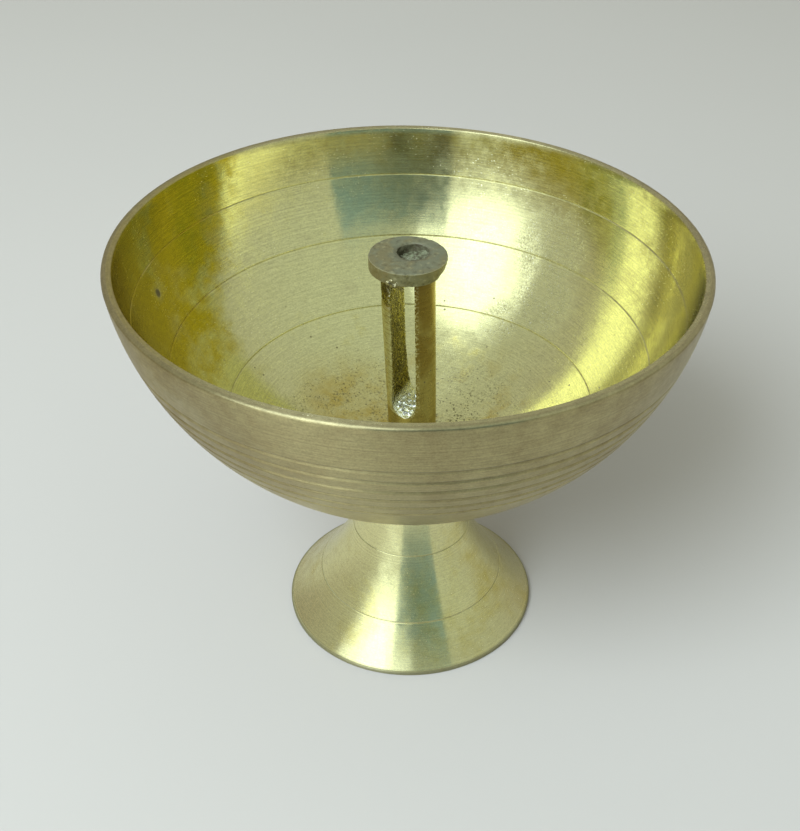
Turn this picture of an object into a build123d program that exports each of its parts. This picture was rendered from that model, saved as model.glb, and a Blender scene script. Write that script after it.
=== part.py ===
from build123d import *
import os
from math import atan2, cos, hypot, sin, sqrt

# Butter lamp, in millimetres, +Z up. The origin is the middle of the foot's resting edge.
# A stud joins the hollow foot and the wick holder, and the two clamp the bowl between them.

# Bowl: the inside is part of a sphere whose centre lies above the rim
rim_radius = 50.0
rim_height = 76.5
lip_width = 1.7
sphere_rise = 6.4
floor_thickness = 1.1
lip_outer_bevel = 0.5
lip_inner_bevel = 0.2

# Ring grooves turned into the outside of the bowl, measured down from the rim
groove_count = 6
groove_first_drop = 9.4
groove_pitch = 2.6
groove_half_width = 0.5
groove_depth = 0.3

# Circles scored inside the bowl, measured down from the rim, and on the foot, measured up
bowl_score_drops = (8.8, 19.6, 30.2)
foot_score_heights = (7.4, 18.2)
score_half_width = 0.25
score_depth = 0.2

# Foot: a hollow flared cone with a solid crown under the bowl
foot_radius = 23.5
foot_edge_height = 0.8
foot_edge_step = 0.3
foot_wall = 2.0
flare_sag = 3.1
neck_radius = 6.8
crown_web = 2.0
hollow_bevel = 2.0

# Stud, at the outside of its thread
stud_radius = 3.0
stud_in_foot = 9.0
stud_in_post = 8.0
stud_chamfer = 0.6
thread_clearance = 0.05
bowl_hole_clearance = 0.3
tapped_end_room = 0.8

# Sealing washer on a flat seat in the bowl's floor
washer_radius = 6.0
washer_thickness = 0.8
washer_hole_clearance = 0.3
seat_margin = 0.5

# Wick post: a round bar, split from the top by a slot with a rounded saddle, a little right of its middle
post_base_radius = 4.2
post_top_radius = 4.7
post_base_chamfer = 0.4
slot_width = 4.6
slot_right = 0.3
slot_turn = -16.0
saddle_web = 1.7

# Wick disc on top of the two legs, a little below the rim and to the left of the axis
disc_drop = 1.1
disc_radius = 6.65
disc_left = 0.8
disc_thickness = 2.4
disc_bevel = 0.15
wick_hole_radius = 2.7
wick_hole_back = 1.5
wick_hole_below_disc = 2.7

# Heights and radii that follow from the sizes above
sphere_height = rim_height + sphere_rise
inner_radius = hypot(rim_radius - lip_width, sphere_rise)
floor_height = sphere_height - inner_radius
seat_height = floor_height - floor_thickness
seat_radius = washer_radius + seat_margin
post_bottom = floor_height + washer_thickness
disc_top = rim_height - disc_drop
disc_bottom = disc_top - disc_thickness
stud_bottom = seat_height - stud_in_foot
stud_top = post_bottom + stud_in_post
tapped_radius = stud_radius + thread_clearance
tapped_top = stud_top + tapped_end_room
saddle_height = tapped_top + saddle_web
hollow_top = stud_bottom - crown_web
bowl_hole_radius = stud_radius + bowl_hole_clearance


def section(*lines):
    """Flat section, of radius and height, inside a closed outline."""
    return make_face(Curve() + list(lines))


def turned(flat):
    """Solid of revolution about the lamp's axis from a flat section."""
    return revolve(Plane.XZ * flat, Axis.Z)


def groove_section(radius, height, normal, half_width, depth):
    """Pointed section of a groove cut into a surface that faces the normal, an angle in radians.

    It reaches as far out of the surface as into it, and is half as wide where it enters as at its back.
    """
    out_radius, out_height = depth * cos(normal), depth * sin(normal)
    side_radius, side_height = -2 * half_width * sin(normal), 2 * half_width * cos(normal)
    tip = (radius - out_radius, height - out_height)
    corners = [
        (radius + out_radius + side * side_radius, height + out_height + side * side_height)
        for side in (-1, 1)
    ]
    return section(Polyline(tip, *corners, close=True))


def outer_centre():
    """Height of the outer sphere's centre, from the rim's edge and the edge of the neck's seat."""
    rise = rim_height - seat_height
    return seat_height + (rise**2 + rim_radius**2 - neck_radius**2) / (2 * rise)


def inner_wall(radius):
    """Height of the bowl's inside at a radius."""
    return sphere_height - sqrt(inner_radius**2 - radius**2)


def bowl_outline():
    """Closed outline of the bowl, from its hole round the outside to the lip and back inside."""
    centre = outer_centre()
    outer_radius = hypot(rim_radius, rim_height - centre)
    middle_angle = (atan2(rim_height - centre, rim_radius) + atan2(seat_height - centre, neck_radius)) / 2
    outside_middle = (outer_radius * cos(middle_angle), centre + outer_radius * sin(middle_angle))
    lip_inside = rim_radius - lip_width
    inside_middle = (lip_inside + seat_radius) / 2
    outside = ThreePointArc((neck_radius, seat_height), outside_middle, (rim_radius, rim_height))
    inside = ThreePointArc(
        (lip_inside, rim_height),
        (inside_middle, inner_wall(inside_middle)),
        (seat_radius, inner_wall(seat_radius)),
    )
    seat = Polyline(
        inside @ 1,
        (seat_radius, floor_height),
        (bowl_hole_radius, floor_height),
        (bowl_hole_radius, seat_height),
        outside @ 0,
    )
    return outside, Line(outside @ 1, inside @ 0), inside, seat


def make_bowl():
    """Bowl with its bevelled lip, the ring grooves outside and the scored circles inside."""
    bowl = section(*bowl_outline())
    lip_corners = bowl.vertices().group_by(Axis.Y)[-1].sort_by(Axis.X)
    bowl = chamfer(lip_corners[-1], lip_outer_bevel)
    lip_corners = bowl.vertices().group_by(Axis.Y)[-1].sort_by(Axis.X)
    bowl = chamfer(lip_corners[0], lip_inner_bevel)
    centre = outer_centre()
    outer_radius = hypot(rim_radius, rim_height - centre)
    for row in range(groove_count):
        height = rim_height - groove_first_drop - row * groove_pitch
        radius = sqrt(outer_radius**2 - (height - centre) ** 2)
        normal = atan2(height - centre, radius)
        bowl -= groove_section(radius, height, normal, groove_half_width, groove_depth)
    for drop in bowl_score_drops:
        height = rim_height - drop
        radius = sqrt(inner_radius**2 - (height - sphere_height) ** 2)
        normal = atan2(sphere_height - height, -radius)
        bowl -= groove_section(radius, height, normal, score_half_width, score_depth)
    return turned(bowl)


def flare_circle():
    """Centre and radius of the foot's concave outline, from its edge to the neck."""
    low = (foot_radius - foot_edge_step, foot_edge_height)
    high = (neck_radius, seat_height)
    chord = hypot(high[0] - low[0], high[1] - low[1])
    radius = (chord**2 / 4 + flare_sag**2) / (2 * flare_sag)
    out = radius - flare_sag
    across = (high[1] - low[1]) / chord
    along = (low[0] - high[0]) / chord
    centre = ((low[0] + high[0]) / 2 + out * across, (low[1] + high[1]) / 2 + out * along)
    return centre, radius


def flare(height, inward=0.0):
    """Radius of the foot's outline at a height, or of a line that runs inside it."""
    (centre_radius, centre_height), radius = flare_circle()
    return centre_radius - sqrt((radius + inward) ** 2 - (height - centre_height) ** 2)


def flare_arc(low, high, inward=0.0):
    """Arc of the foot's outline between two heights, or of a line that runs inside it."""
    middle = (low + high) / 2
    return ThreePointArc(
        (flare(low, inward), low), (flare(middle, inward), middle), (flare(high, inward), high)
    )


def make_foot():
    """Hollow foot with a stepped edge, two scored circles and a tapped crown."""
    outside = flare_arc(foot_edge_height, seat_height)
    edge = Polyline((0, 0), (foot_radius, 0), (foot_radius, foot_edge_height), outside @ 0)
    foot = section(edge, outside, Polyline(outside @ 1, (0, seat_height), (0, 0)))
    inside = flare_arc(0, hollow_top, foot_wall)
    hollow = section(Line((0, 0), inside @ 0), inside, Polyline(inside @ 1, (0, hollow_top), (0, 0)))
    hollow_corner = hollow.vertices().group_by(Axis.Y)[-1].sort_by(Axis.X)[-1]
    foot -= chamfer(hollow_corner, hollow_bevel)
    foot -= Pos(0, stud_bottom) * Rectangle(tapped_radius, stud_in_foot, align=(Align.MIN, Align.MIN))
    (centre_radius, centre_height), _ = flare_circle()
    for height in foot_score_heights:
        radius = flare(height)
        normal = atan2(centre_height - height, centre_radius - radius)
        foot -= groove_section(radius, height, normal, score_half_width, score_depth)
    return turned(foot)


def make_stud():
    """Stud that stands in the foot's crown and takes the wick post."""
    stud = extrude(Pos(0, 0, stud_bottom) * Circle(stud_radius), stud_top - stud_bottom)
    return chamfer(stud.edges().filter_by(GeomType.CIRCLE), stud_chamfer)


def make_seal_washer():
    """Flat washer between the bowl's floor and the wick post."""
    ring = Circle(washer_radius) - Circle(stud_radius + washer_hole_clearance)
    return extrude(Pos(0, 0, floor_height) * ring, washer_thickness)


def wick_hole():
    """Hole drilled down through the disc and into the tops of the legs."""
    depth = disc_thickness + wick_hole_below_disc
    return extrude(Pos(0, wick_hole_back, disc_top) * Circle(wick_hole_radius), -depth)


def make_wick_post():
    """Slotted post, tapped from below for the stud, with two legs that carry the disc."""
    side = Polyline(
        (0, post_bottom),
        (post_base_radius - post_base_chamfer, post_bottom),
        (post_base_radius, post_bottom + post_base_chamfer),
        (post_top_radius, disc_bottom),
        (0, disc_bottom),
        close=True,
    )
    post = turned(section(side))
    half = slot_width / 2
    reach = post_base_radius + post_top_radius
    saddle = ThreePointArc(
        (-half, saddle_height + half), (0, saddle_height), (half, saddle_height + half)
    )
    slot_outline = Polyline(saddle @ 1, (half, disc_bottom), (-half, disc_bottom), saddle @ 0)
    slot = extrude(Plane.XZ * section(saddle, slot_outline), reach, both=True)
    post -= Rot(0, 0, slot_turn) * Pos(slot_right, 0, 0) * slot
    tapped = extrude(Pos(0, 0, post_bottom) * Circle(tapped_radius), tapped_top - post_bottom)
    return post - tapped - wick_hole()


def make_wick_disc():
    """Disc that caps the two legs, with the hole that the wick stands in."""
    disc = extrude(Pos(-disc_left, 0, disc_bottom) * Circle(disc_radius), disc_thickness)
    disc = chamfer(disc.edges().filter_by(GeomType.CIRCLE), disc_bevel)
    return disc - wick_hole()


pieces = {
    "foot": make_foot,
    "stud": make_stud,
    "bowl": make_bowl,
    "seal_washer": make_seal_washer,
    "wick_post": make_wick_post,
    "wick_disc": make_wick_disc,
}

os.makedirs("parts", exist_ok=True)
for name, make in pieces.items():
    export_step(make(), f"parts/{name}.step")
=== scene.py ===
import math
from functools import partialmethod

import bmesh
import bpy
from mathutils import Matrix, Vector, noise


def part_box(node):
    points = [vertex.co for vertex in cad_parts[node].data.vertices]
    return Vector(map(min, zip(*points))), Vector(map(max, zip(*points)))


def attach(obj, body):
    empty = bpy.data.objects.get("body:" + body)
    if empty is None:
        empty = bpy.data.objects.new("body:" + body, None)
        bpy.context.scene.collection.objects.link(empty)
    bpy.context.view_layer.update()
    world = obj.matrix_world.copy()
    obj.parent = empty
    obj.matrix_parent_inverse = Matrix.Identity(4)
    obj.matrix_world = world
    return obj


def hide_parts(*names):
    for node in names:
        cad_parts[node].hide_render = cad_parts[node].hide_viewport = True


bl_info = {
    "name": "Butter Lamp",
    "version": (1, 0, 0),
    "blender": (4, 5, 0),
    "location": "View3D > Sidebar > Butter Lamp",
    "description": "Dresses a turned brass butter lamp: bowl, foot, stud, washer and wick holder",
    "category": "Object",
}

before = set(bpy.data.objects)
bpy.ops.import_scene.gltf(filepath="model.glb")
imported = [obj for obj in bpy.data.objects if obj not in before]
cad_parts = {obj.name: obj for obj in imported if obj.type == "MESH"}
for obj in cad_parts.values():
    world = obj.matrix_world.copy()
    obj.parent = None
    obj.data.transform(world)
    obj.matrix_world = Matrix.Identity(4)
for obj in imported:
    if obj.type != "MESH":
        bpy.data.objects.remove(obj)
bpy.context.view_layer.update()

MM = 0.001
FULL_TURN = 2 * math.pi
QUARTER_TURN = math.pi / 2
BOWL_LOW, BOWL_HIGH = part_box("bowl")
FOOT_LOW, FOOT_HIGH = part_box("foot")
STUD_LOW, STUD_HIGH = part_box("stud")
WASHER_LOW, WASHER_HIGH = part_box("seal_washer")
POST_LOW, POST_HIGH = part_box("wick_post")
DISC_LOW, DISC_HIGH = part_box("wick_disc")


# Sizes and colours that a user would change

def length(name, description, default):
    """A length in metres with a plain name."""
    return bpy.props.FloatProperty(
        name=name, description=description, default=default, min=0.0, precision=5,
        unit="LENGTH", subtype="DISTANCE",
    )


def colour(name, description, default):
    """A colour, written as linear red, green and blue."""
    return bpy.props.FloatVectorProperty(
        name=name, description=description, default=default, min=0.0, max=1.0, size=3, subtype="COLOR",
    )


def group(kind, name, description):
    """A group of settings."""
    return bpy.props.PointerProperty(type=kind, name=name, description=description)


class LampBowlSizes(bpy.types.PropertyGroup):
    """Sizes of the bowl."""

    rim_radius: length("Rim radius", "Radius of the bowl's outer edge", 50.0 * MM)
    rim_height: length("Rim height", "Height of the lip above the table", BOWL_HIGH.z)
    seat_height: length("Seat height", "Height of the bowl's underside on the foot", BOWL_LOW.z)
    lip_width: length("Lip width", "Width of the flat lip", 1.7 * MM)
    sphere_rise: length("Sphere rise", "Height of the inside's centre above the rim", 6.4 * MM)
    lip_round: length("Lip rounding", "Radius of the lip's outer corner", 0.5 * MM)
    lip_break: length("Lip break", "Radius of the lip's inner corner", 0.2 * MM)
    groove_depth: length("Groove depth", "Depth of the ring grooves outside", 0.3 * MM)
    groove_half_width: length("Groove half width", "Half the width of a ring groove", 0.6 * MM)
    groove_first_drop: length("First groove", "Drop from the rim to the first groove", 9.4 * MM)
    groove_pitch: length("Groove pitch", "Drop from one groove to the next", 2.6 * MM)
    score_depth: length("Score depth", "Depth of the circles scored inside", 0.12 * MM)
    score_half_width: length("Score half width", "Half the width of a scored circle", 0.15 * MM)
    seat_radius: length("Washer seat radius", "Radius of the flat seat in the floor", 6.5 * MM)
    hole_radius: length("Stud hole radius", "Radius of the hole for the stud", 3.3 * MM)


class LampFootSizes(bpy.types.PropertyGroup):
    """Sizes of the foot."""

    edge_radius: length("Edge radius", "Radius of the foot's lowest edge", 23.5 * MM)
    edge_height: length("Edge height", "Height of the stepped edge", 0.8 * MM)
    edge_step: length("Edge step", "How far the edge stands out", 0.3 * MM)
    neck_radius: length("Neck radius", "Radius of the neck under the bowl", 6.8 * MM)
    flare_sag: length("Flare sag", "How far the flare is hollowed", 3.1 * MM)
    wall: length("Wall", "Thickness of the hollow foot", 2.0 * MM)
    hollow_top: length("Hollow top", "Height of the hollow inside", 22.08 * MM)
    score_depth: length("Score depth", "Depth of the scored circles", 0.08 * MM)
    score_half_width: length("Score half width", "Half the width of a scored circle", 0.13 * MM)


class LampHolderSizes(bpy.types.PropertyGroup):
    """Sizes of the wick holder and of what fastens it."""

    base_radius: length("Post radius below", "Radius of the post at its base", 4.2 * MM)
    top_radius: length("Post radius above", "Radius of the post under the disc", 4.7 * MM)
    slot_width: length("Slot width", "Width of the slot between the legs", 4.6 * MM)
    slot_right: length("Slot right", "How far the slot lies to the right of the post's middle", 0.3 * MM)
    saddle_height: length("Saddle height", "Height of the slot's lowest point", 45.48 * MM)
    lean: length("Lean", "How far the top of the bent post stands to the left", 0.9 * MM)
    slot_turn: bpy.props.FloatProperty(
        name="Slot turn", description="Turn of the slot about the lamp's axis",
        default=math.radians(-16.0), subtype="ANGLE", unit="ROTATION",
    )
    disc_radius: length("Disc radius", "Radius of the disc on the legs", 6.65 * MM)
    hole_radius: length("Wick hole radius", "Radius of the hole for the wick", 2.7 * MM)
    hole_back: length("Wick hole back", "Offset of the hole to the back", 1.5 * MM)
    hole_depth: length("Wick hole depth", "Depth of the hole from the disc's top", 5.1 * MM)
    thread_radius: length("Thread radius", "Radius at the stud's crests", 3.0 * MM)
    thread_pitch: length("Thread pitch", "Rise of the thread in one turn", 1.0 * MM)
    thread_depth: length("Thread depth", "Depth of the thread", 0.5 * MM)
    washer_hole: length("Washer hole radius", "Radius of the washer's hole", 3.3 * MM)


class LampColours(bpy.types.PropertyGroup):
    """Colours of the finishes."""

    clean_brass: colour("Clean brass", "Brass where it is rubbed bright", (0.87, 0.825, 0.43))
    olive_tarnish: colour("Olive tarnish", "Blotches of tarnish", (0.64, 0.495, 0.012))
    brown_tarnish: colour("Brown tarnish", "Dull brownish film on the right", (0.40, 0.34, 0.17))
    # Dark brown coat of the bowl's outside: tarnish together with a painted dark reflection
    outside_tarnish_and_reflection: colour("Outside tarnish", "Brown film on the bowl's outside", (0.36, 0.285, 0.135))
    grey_tarnish: colour("Grey tarnish", "Dull film on the lip", (0.62, 0.55, 0.31))
    crumbs: colour("Crumbs", "Burnt crumbs and specks in the bowl", (0.085, 0.062, 0.022))
    grime: colour("Grime", "Burnt butter in grooves and specks", (0.045, 0.034, 0.014))
    brown_brass: colour("Brown brass", "Legs stained by the flame", (0.31, 0.225, 0.07))
    cast_brass: colour("Cast brass", "Rough faces of the slot", (0.33, 0.275, 0.04))
    stain: colour("Stain", "Orange-brown stains of old butter", (0.53, 0.36, 0.03))
    # Also colours the disc's top corner as a painted highlight
    filed_brass_and_highlight: colour("Filed brass", "Pale filed strip of the left leg", (0.70, 0.68, 0.47))
    scorched: colour("Scorched brass", "Heat tarnish on the disc", (0.25, 0.255, 0.165))
    scorched_side: colour("Scorched side", "Brownish heat tarnish on the disc's side", (0.265, 0.245, 0.13))
    braze: colour("Braze", "Lumps of braze under the disc", (0.36, 0.335, 0.20))
    crust: colour("Crust", "Burnt crust in the wick hole", (0.17, 0.185, 0.105))
    leather: colour("Leather", "Oiled leather washer", (0.13, 0.07, 0.032))


class LampStageSettings(bpy.types.PropertyGroup):
    """The floor and the lamps."""

    floor_colour: colour("Floor", "Pale floor", (0.56, 0.52, 0.485))
    window_power: bpy.props.FloatProperty(
        name="Window power", description="Power of the soft lamps at the left", default=12.0,
        min=0.0, unit="POWER",
    )


class LampSettings(bpy.types.PropertyGroup):
    """Everything that the lamp's operators read."""

    bowl: group(LampBowlSizes, "Bowl", "Sizes of the bowl")
    foot: group(LampFootSizes, "Foot", "Sizes of the foot")
    holder: group(LampHolderSizes, "Wick holder", "Sizes of the wick holder and its stud")
    colours: group(LampColours, "Colours", "Colours of the finishes")
    stage: group(LampStageSettings, "Stage", "Floor and lamps")


# Meshes

# Radius that counts as the axis, and the bend in degrees at which an edge stays sharp
TINY = 1e-7
SHARP, POST_SHARP, DISC_SHARP, THREAD_SHARP, LEATHER_SHARP = 32.0, 38.0, 40.0, 50.0, 60.0

# Points across half a groove, and how far they reach beyond its edge
GROOVE_POINTS, GROOVE_REACH, GROOVE_CLEAR = 5, 1.2, 1.25
WALL_STEP = 1.0 * MM


def uneven(place, size, seed=0.0):
    """Smooth unevenness between -1 and 1 whose bumps are about as wide as size."""
    return noise.noise(Vector(place) / size + Vector((seed, 1.7 * seed, -seed)))


def held(value):
    """A value kept between 0 and 1."""
    return min(1.0, max(0.0, value))


def steps(low, high, longest):
    """Evenly spaced values from low to high, no further apart than longest."""
    count = max(1, math.ceil(abs(high - low) / longest))
    return [low + (high - low) * i / count for i in range(count + 1)]


def round_angles(count):
    """Angles spaced evenly round a full turn."""
    return [FULL_TURN * i / count for i in range(count)]


def level_way(angle):
    """Level direction at an angle."""
    return Vector((math.cos(angle), math.sin(angle), 0.0))


def placed(name, data):
    """New object in the scene for a mesh, a lamp or a camera."""
    thing = bpy.data.objects.new(name, data)
    bpy.context.scene.collection.objects.link(thing)
    return thing


def written(name, work):
    """New object for a mesh that has been worked on."""
    mesh = bpy.data.meshes.new(name)
    work.to_mesh(mesh)
    work.free()
    return placed(name, mesh)


def bridge(work, low, high):
    """Faces between two rings, either of which may be a single point."""
    count = max(len(low), len(high))
    for i in range(count):
        j = (i + 1) % count
        if len(low) == 1:
            work.faces.new((low[0], high[i], high[j]))
        elif len(high) == 1:
            work.faces.new((low[i], low[j], high[0]))
        else:
            work.faces.new((low[i], low[j], high[j], high[i]))


def smooth_faces(work, sharp):
    """Sets the normals and smooths all but the sharp edges."""
    bmesh.ops.recalc_face_normals(work, faces=work.faces)
    for face in work.faces:
        face.smooth = True
    limit = math.radians(sharp)
    for edge in work.edges:
        edge.smooth = not (edge.is_manifold and edge.calc_face_angle(0.0) > limit)


def skin(name, rings, key, marks, closed=False, sharp=SHARP):
    """Object whose skin joins rings of points, each of one length or a single point at a pole.

    marks has one value for each ring, which the finish reads by its key.
    """
    work = bmesh.new()
    layer = work.verts.layers.float.new(key)
    loops = []
    for ring, mark in zip(rings, marks):
        loop = [work.verts.new(point) for point in ring]
        for vertex in loop:
            vertex[layer] = mark
        loops.append(loop)
    for low, high in zip(loops, loops[1:] + loops[: int(closed)]):
        bridge(work, low, high)
    smooth_faces(work, sharp)
    return written(name, work)


def turned(name, sides, sharp, outline, *sizes):
    """Turned piece: outline(*sizes, angle) gives points of radius, height and groove mark, from end to end."""
    angles = round_angles(sides)
    rings, marks = [], []
    for ring in zip(*[outline(*sizes, angle) for angle in angles]):
        radius, height, mark = ring[0]
        marks.append(mark)
        if radius < TINY:
            rings.append([(0.0, 0.0, height)])
        else:
            rings.append([(r * math.cos(a), r * math.sin(a), z) for a, (r, z, _) in zip(angles, ring)])
    return skin(name, rings, "groove", marks, closed=len(rings[0]) > 1, sharp=sharp)


def level(radii, height, mark=0.0):
    """Points of a section at one height."""
    return [(radius, height, mark) for radius in radii]


def arc_round(centre, radius, start, end, count, mark=0.0):
    """Points of an arc in a section, from one angle to another."""
    angles = [start + (end - start) * i / count for i in range(count + 1)]
    return [(centre[0] + radius * math.cos(a), centre[1] + radius * math.sin(a), mark) for a in angles]


def refined(values, middle, half):
    """A set of values with a close row of them across a groove, in place of the ones that lie there."""
    clear = {value for value in values if abs(value - middle) > GROOVE_CLEAR * half}
    rows = range(-GROOVE_POINTS, GROOVE_POINTS + 1)
    return clear | {middle + GROOVE_REACH * half * i / GROOVE_POINTS for i in rows}


def groove_share(value, middle, half):
    """Share of a round groove's depth at a value across it."""
    share = (value - middle) / half
    return math.cos(share * QUARTER_TURN) ** 2 if abs(share) < 1.0 else 0.0


def grooved_arc(centre_height, radius, start, end, grooves):
    """Points of a spherical wall with round grooves.

    Each groove is its angle along the wall, its half width and its signed depth.
    """
    angles = set(steps(start, end, WALL_STEP / radius))
    for angle, half, _ in grooves:
        angles = refined(angles, angle, half / radius)
    points = []
    for a in sorted(angles, reverse=start > end):
        shares = [groove_share(a, angle, half / radius) for angle, half, _ in grooves]
        reach = radius - sum(share * depth for share, (_, _, depth) in zip(shares, grooves))
        points.append((reach * math.cos(a), centre_height + reach * math.sin(a), max(shares)))
    return points


def thread_radius(holder, height, angle, room=0.0):
    """Radius of the stud's thread at a height and angle, or of a tapped hole with room round it."""
    phase = (height / holder.thread_pitch - angle / FULL_TURN) % 1.0
    cut = held((0.92 - abs(2.0 * phase - 1.0)) / 0.8)
    return holder.thread_radius + room - holder.thread_depth * cut


# Bowl and foot

TAP_ROOM, TAP_STEP = 0.1 * MM, 0.1 * MM
TAP_END_ROOM, DRILL_POINT = 0.8 * MM, 0.5 * MM
GROOVE_STRENGTHS = (0.75, 1.0, 1.1, 0.85, 1.05, 0.9)
BOWL_SCORE_DROPS = (8.8 * MM, 19.6 * MM, 30.2 * MM)
FOOT_SCORE_HEIGHTS = (7.4 * MM, 18.2 * MM)
FOOT_BEAD = 0.25 * MM
HOLLOW_ROUNDING = 2.0 * MM


def bowl_outline(sizes, neck_radius, angle):
    """Section of the bowl: up the grooved outside, over the lip, down the scored inside to the stud's hole."""
    rim, seat, hole = sizes.rim_height, sizes.seat_height, sizes.hole_radius
    rise = rim - seat
    centre = seat + (rise**2 + sizes.rim_radius**2 - neck_radius**2) / (2 * rise)
    outer = math.hypot(sizes.rim_radius, rim - centre)
    grooves = []
    for row, strength in enumerate(GROOVE_STRENGTHS):
        height = rim - sizes.groove_first_drop - row * sizes.groove_pitch
        wander = 1.0 + 0.12 * math.sin(angle + 1.9 * row)
        depth = sizes.groove_depth * strength * wander
        grooves.append((math.asin((height - centre) / outer), sizes.groove_half_width, depth))
    end = math.asin((rim - sizes.lip_round - centre) / outer)
    outside = grooved_arc(centre, outer, math.atan2(seat - centre, neck_radius), end, grooves)
    edge = outer * math.cos(end) - sizes.lip_round
    outer_lip = arc_round((edge, rim - sizes.lip_round), sizes.lip_round, 0.0, QUARTER_TURN, 7)
    inner_edge = sizes.rim_radius - sizes.lip_width
    break_centre = (inner_edge + sizes.lip_break, rim - sizes.lip_break)
    inner_lip = arc_round(break_centre, sizes.lip_break, QUARTER_TURN, math.pi, 5)
    flat = level(steps(edge, break_centre[0], 0.35 * MM)[1:-1], rim)
    inner_centre = rim + sizes.sphere_rise
    inner = math.hypot(inner_edge, sizes.sphere_rise)
    scores = [
        (math.asin((rim - drop - inner_centre) / inner), sizes.score_half_width, -sizes.score_depth)
        for drop in BOWL_SCORE_DROPS
    ]
    top = math.asin((rim - 1.6 * sizes.lip_break - inner_centre) / inner)
    inside = grooved_arc(inner_centre, inner, top, -math.acos(sizes.seat_radius / inner), scores)
    floor = inner_centre - inner
    washer_seat = [(sizes.seat_radius, floor, 0.6)]
    washer_seat += level(steps(sizes.seat_radius, hole, 0.6 * MM)[1:], floor, 0.2)
    washer_seat += [(hole, z, 0.4) for z in steps(floor, seat, 0.5 * MM)[1:]]
    washer_seat += level(steps(hole, neck_radius, 0.8 * MM)[1:-1], seat, 0.1)
    return outside + outer_lip[1:] + flat + inner_lip + inside + washer_seat


def flare_circle(sizes, seat_height):
    """Centre and radius of the foot's hollowed outline."""
    low = (sizes.edge_radius - sizes.edge_step, sizes.edge_height)
    high = (sizes.neck_radius, seat_height)
    chord = math.hypot(high[0] - low[0], high[1] - low[1])
    radius = (chord**2 / 4 + sizes.flare_sag**2) / (2 * sizes.flare_sag)
    out = radius - sizes.flare_sag
    centre = (
        (low[0] + high[0]) / 2 + out * (high[1] - low[1]) / chord,
        (low[1] + high[1]) / 2 + out * (low[0] - high[0]) / chord,
    )
    return centre, radius


def foot_outline(sizes, holder, seat_height, stud_bottom, angle):
    """Section of the foot: up the tapped hole, down the scored flare, round the edge and up the hollow."""
    centre, radius = flare_circle(sizes, seat_height)

    def flare(height, inward=0.0):
        return centre[0] - math.sqrt((radius + inward) ** 2 - (height - centre[1]) ** 2)

    points = [(0.0, stud_bottom, 0.3)]
    for height in steps(stud_bottom, seat_height - 0.2 * MM, TAP_STEP):
        points.append((thread_radius(holder, height, angle, TAP_ROOM), height, 0.3))
    points += level(steps(holder.thread_radius + 0.3 * MM, sizes.neck_radius, 0.7 * MM), seat_height, 0.1)
    half = sizes.score_half_width
    heights = set(steps(seat_height, sizes.edge_height, 0.8 * MM)[1:])
    for score in FOOT_SCORE_HEIGHTS:
        heights = refined(heights, score, half)
    for height in sorted(heights, reverse=True):
        mark = max(groove_share(height, score, half) for score in FOOT_SCORE_HEIGHTS)
        points.append((flare(height) - sizes.score_depth * mark, height, mark))
    bead, edge = FOOT_BEAD, sizes.edge_radius - FOOT_BEAD
    # The stepped edge gets high groove marks, which the finish turns into painted shade
    points.append((edge, sizes.edge_height, 1.0))
    points += arc_round((edge, sizes.edge_height - bead), bead, QUARTER_TURN, 0.0, 4, 0.7)[1:]
    points += arc_round((edge, bead), bead, 0.0, -QUARTER_TURN, 4, 0.5)
    points += level(steps(edge, flare(0.0, sizes.wall), 0.5 * MM)[1:], 0.0, 0.2)
    corner = sizes.hollow_top - HOLLOW_ROUNDING
    points += [(flare(z, sizes.wall), z, 0.3) for z in steps(0.0, corner, 0.8 * MM)[1:]]
    shoulder = points[-1][0] - HOLLOW_ROUNDING
    points += arc_round((shoulder, corner), HOLLOW_ROUNDING, 0.0, QUARTER_TURN, 7, 0.3)[1:]
    points += level(steps(shoulder, 0.0, 0.8 * MM)[1:-1], sizes.hollow_top, 0.3)
    return points + [(0.0, sizes.hollow_top, 0.3)]


# Stud, washer and wick holder

STUD_CHAMFER, STUD_STEP = 0.6 * MM, 0.08 * MM
POST_CHAMFER, POST_STEP, LEG_STEP = 0.4 * MM, 0.9 * MM, 0.26 * MM
ARC_STEPS, CHORD_STEPS, SADDLE_STEPS = 56, 26, 12
NOTCH_HEIGHT = 67.0 * MM


def stud_outline(holder, bottom, top, angle):
    """Section of the threaded stud with its two chamfered ends."""
    points = [(0.0, bottom, 0.0)]
    for height in steps(bottom, top, STUD_STEP):
        end = min(height - bottom, top - height)
        chamfered = holder.thread_radius - STUD_CHAMFER + end
        points.append((min(thread_radius(holder, height, angle), chamfered), height, 0.0))
    return points + [(0.0, top, 0.0)]


def washer_outline(holder, angle):
    """Section of the leather washer, bulged at its edge by the post's pressure."""
    low, high = WASHER_LOW.z, WASHER_HIGH.z
    middle, half = (low + high) / 2, (high - low) / 2
    outer = WASHER_HIGH.x - half + 0.02 * MM * math.sin(3 * angle)
    inner, corner = holder.washer_hole, 0.1 * MM
    rim = arc_round((outer, middle), half, -QUARTER_TURN, QUARTER_TURN, 10, 0.5)
    top = level(steps(outer, inner + corner, 0.3 * MM)[1:], high - 0.03 * MM)
    bore = [(inner, z, 0.3) for z in steps(high - corner, low + corner, 0.2 * MM)]
    return rim + top + bore + level(steps(inner + corner, outer, 0.3 * MM)[:-1], low + 0.01 * MM)


def leg_levels(holder, top):
    """Heights up the slot, with half the slot's width at each, from the saddle to the disc."""
    half = holder.slot_width / 2
    centre = holder.saddle_height + half
    turns = [QUARTER_TURN * i / SADDLE_STEPS for i in range(SADDLE_STEPS + 1)]
    levels = [(centre - half * math.cos(turn), half * math.sin(turn)) for turn in turns]
    return levels + [(height, half) for height in steps(centre, top, LEG_STEP)[1:]]


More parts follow.
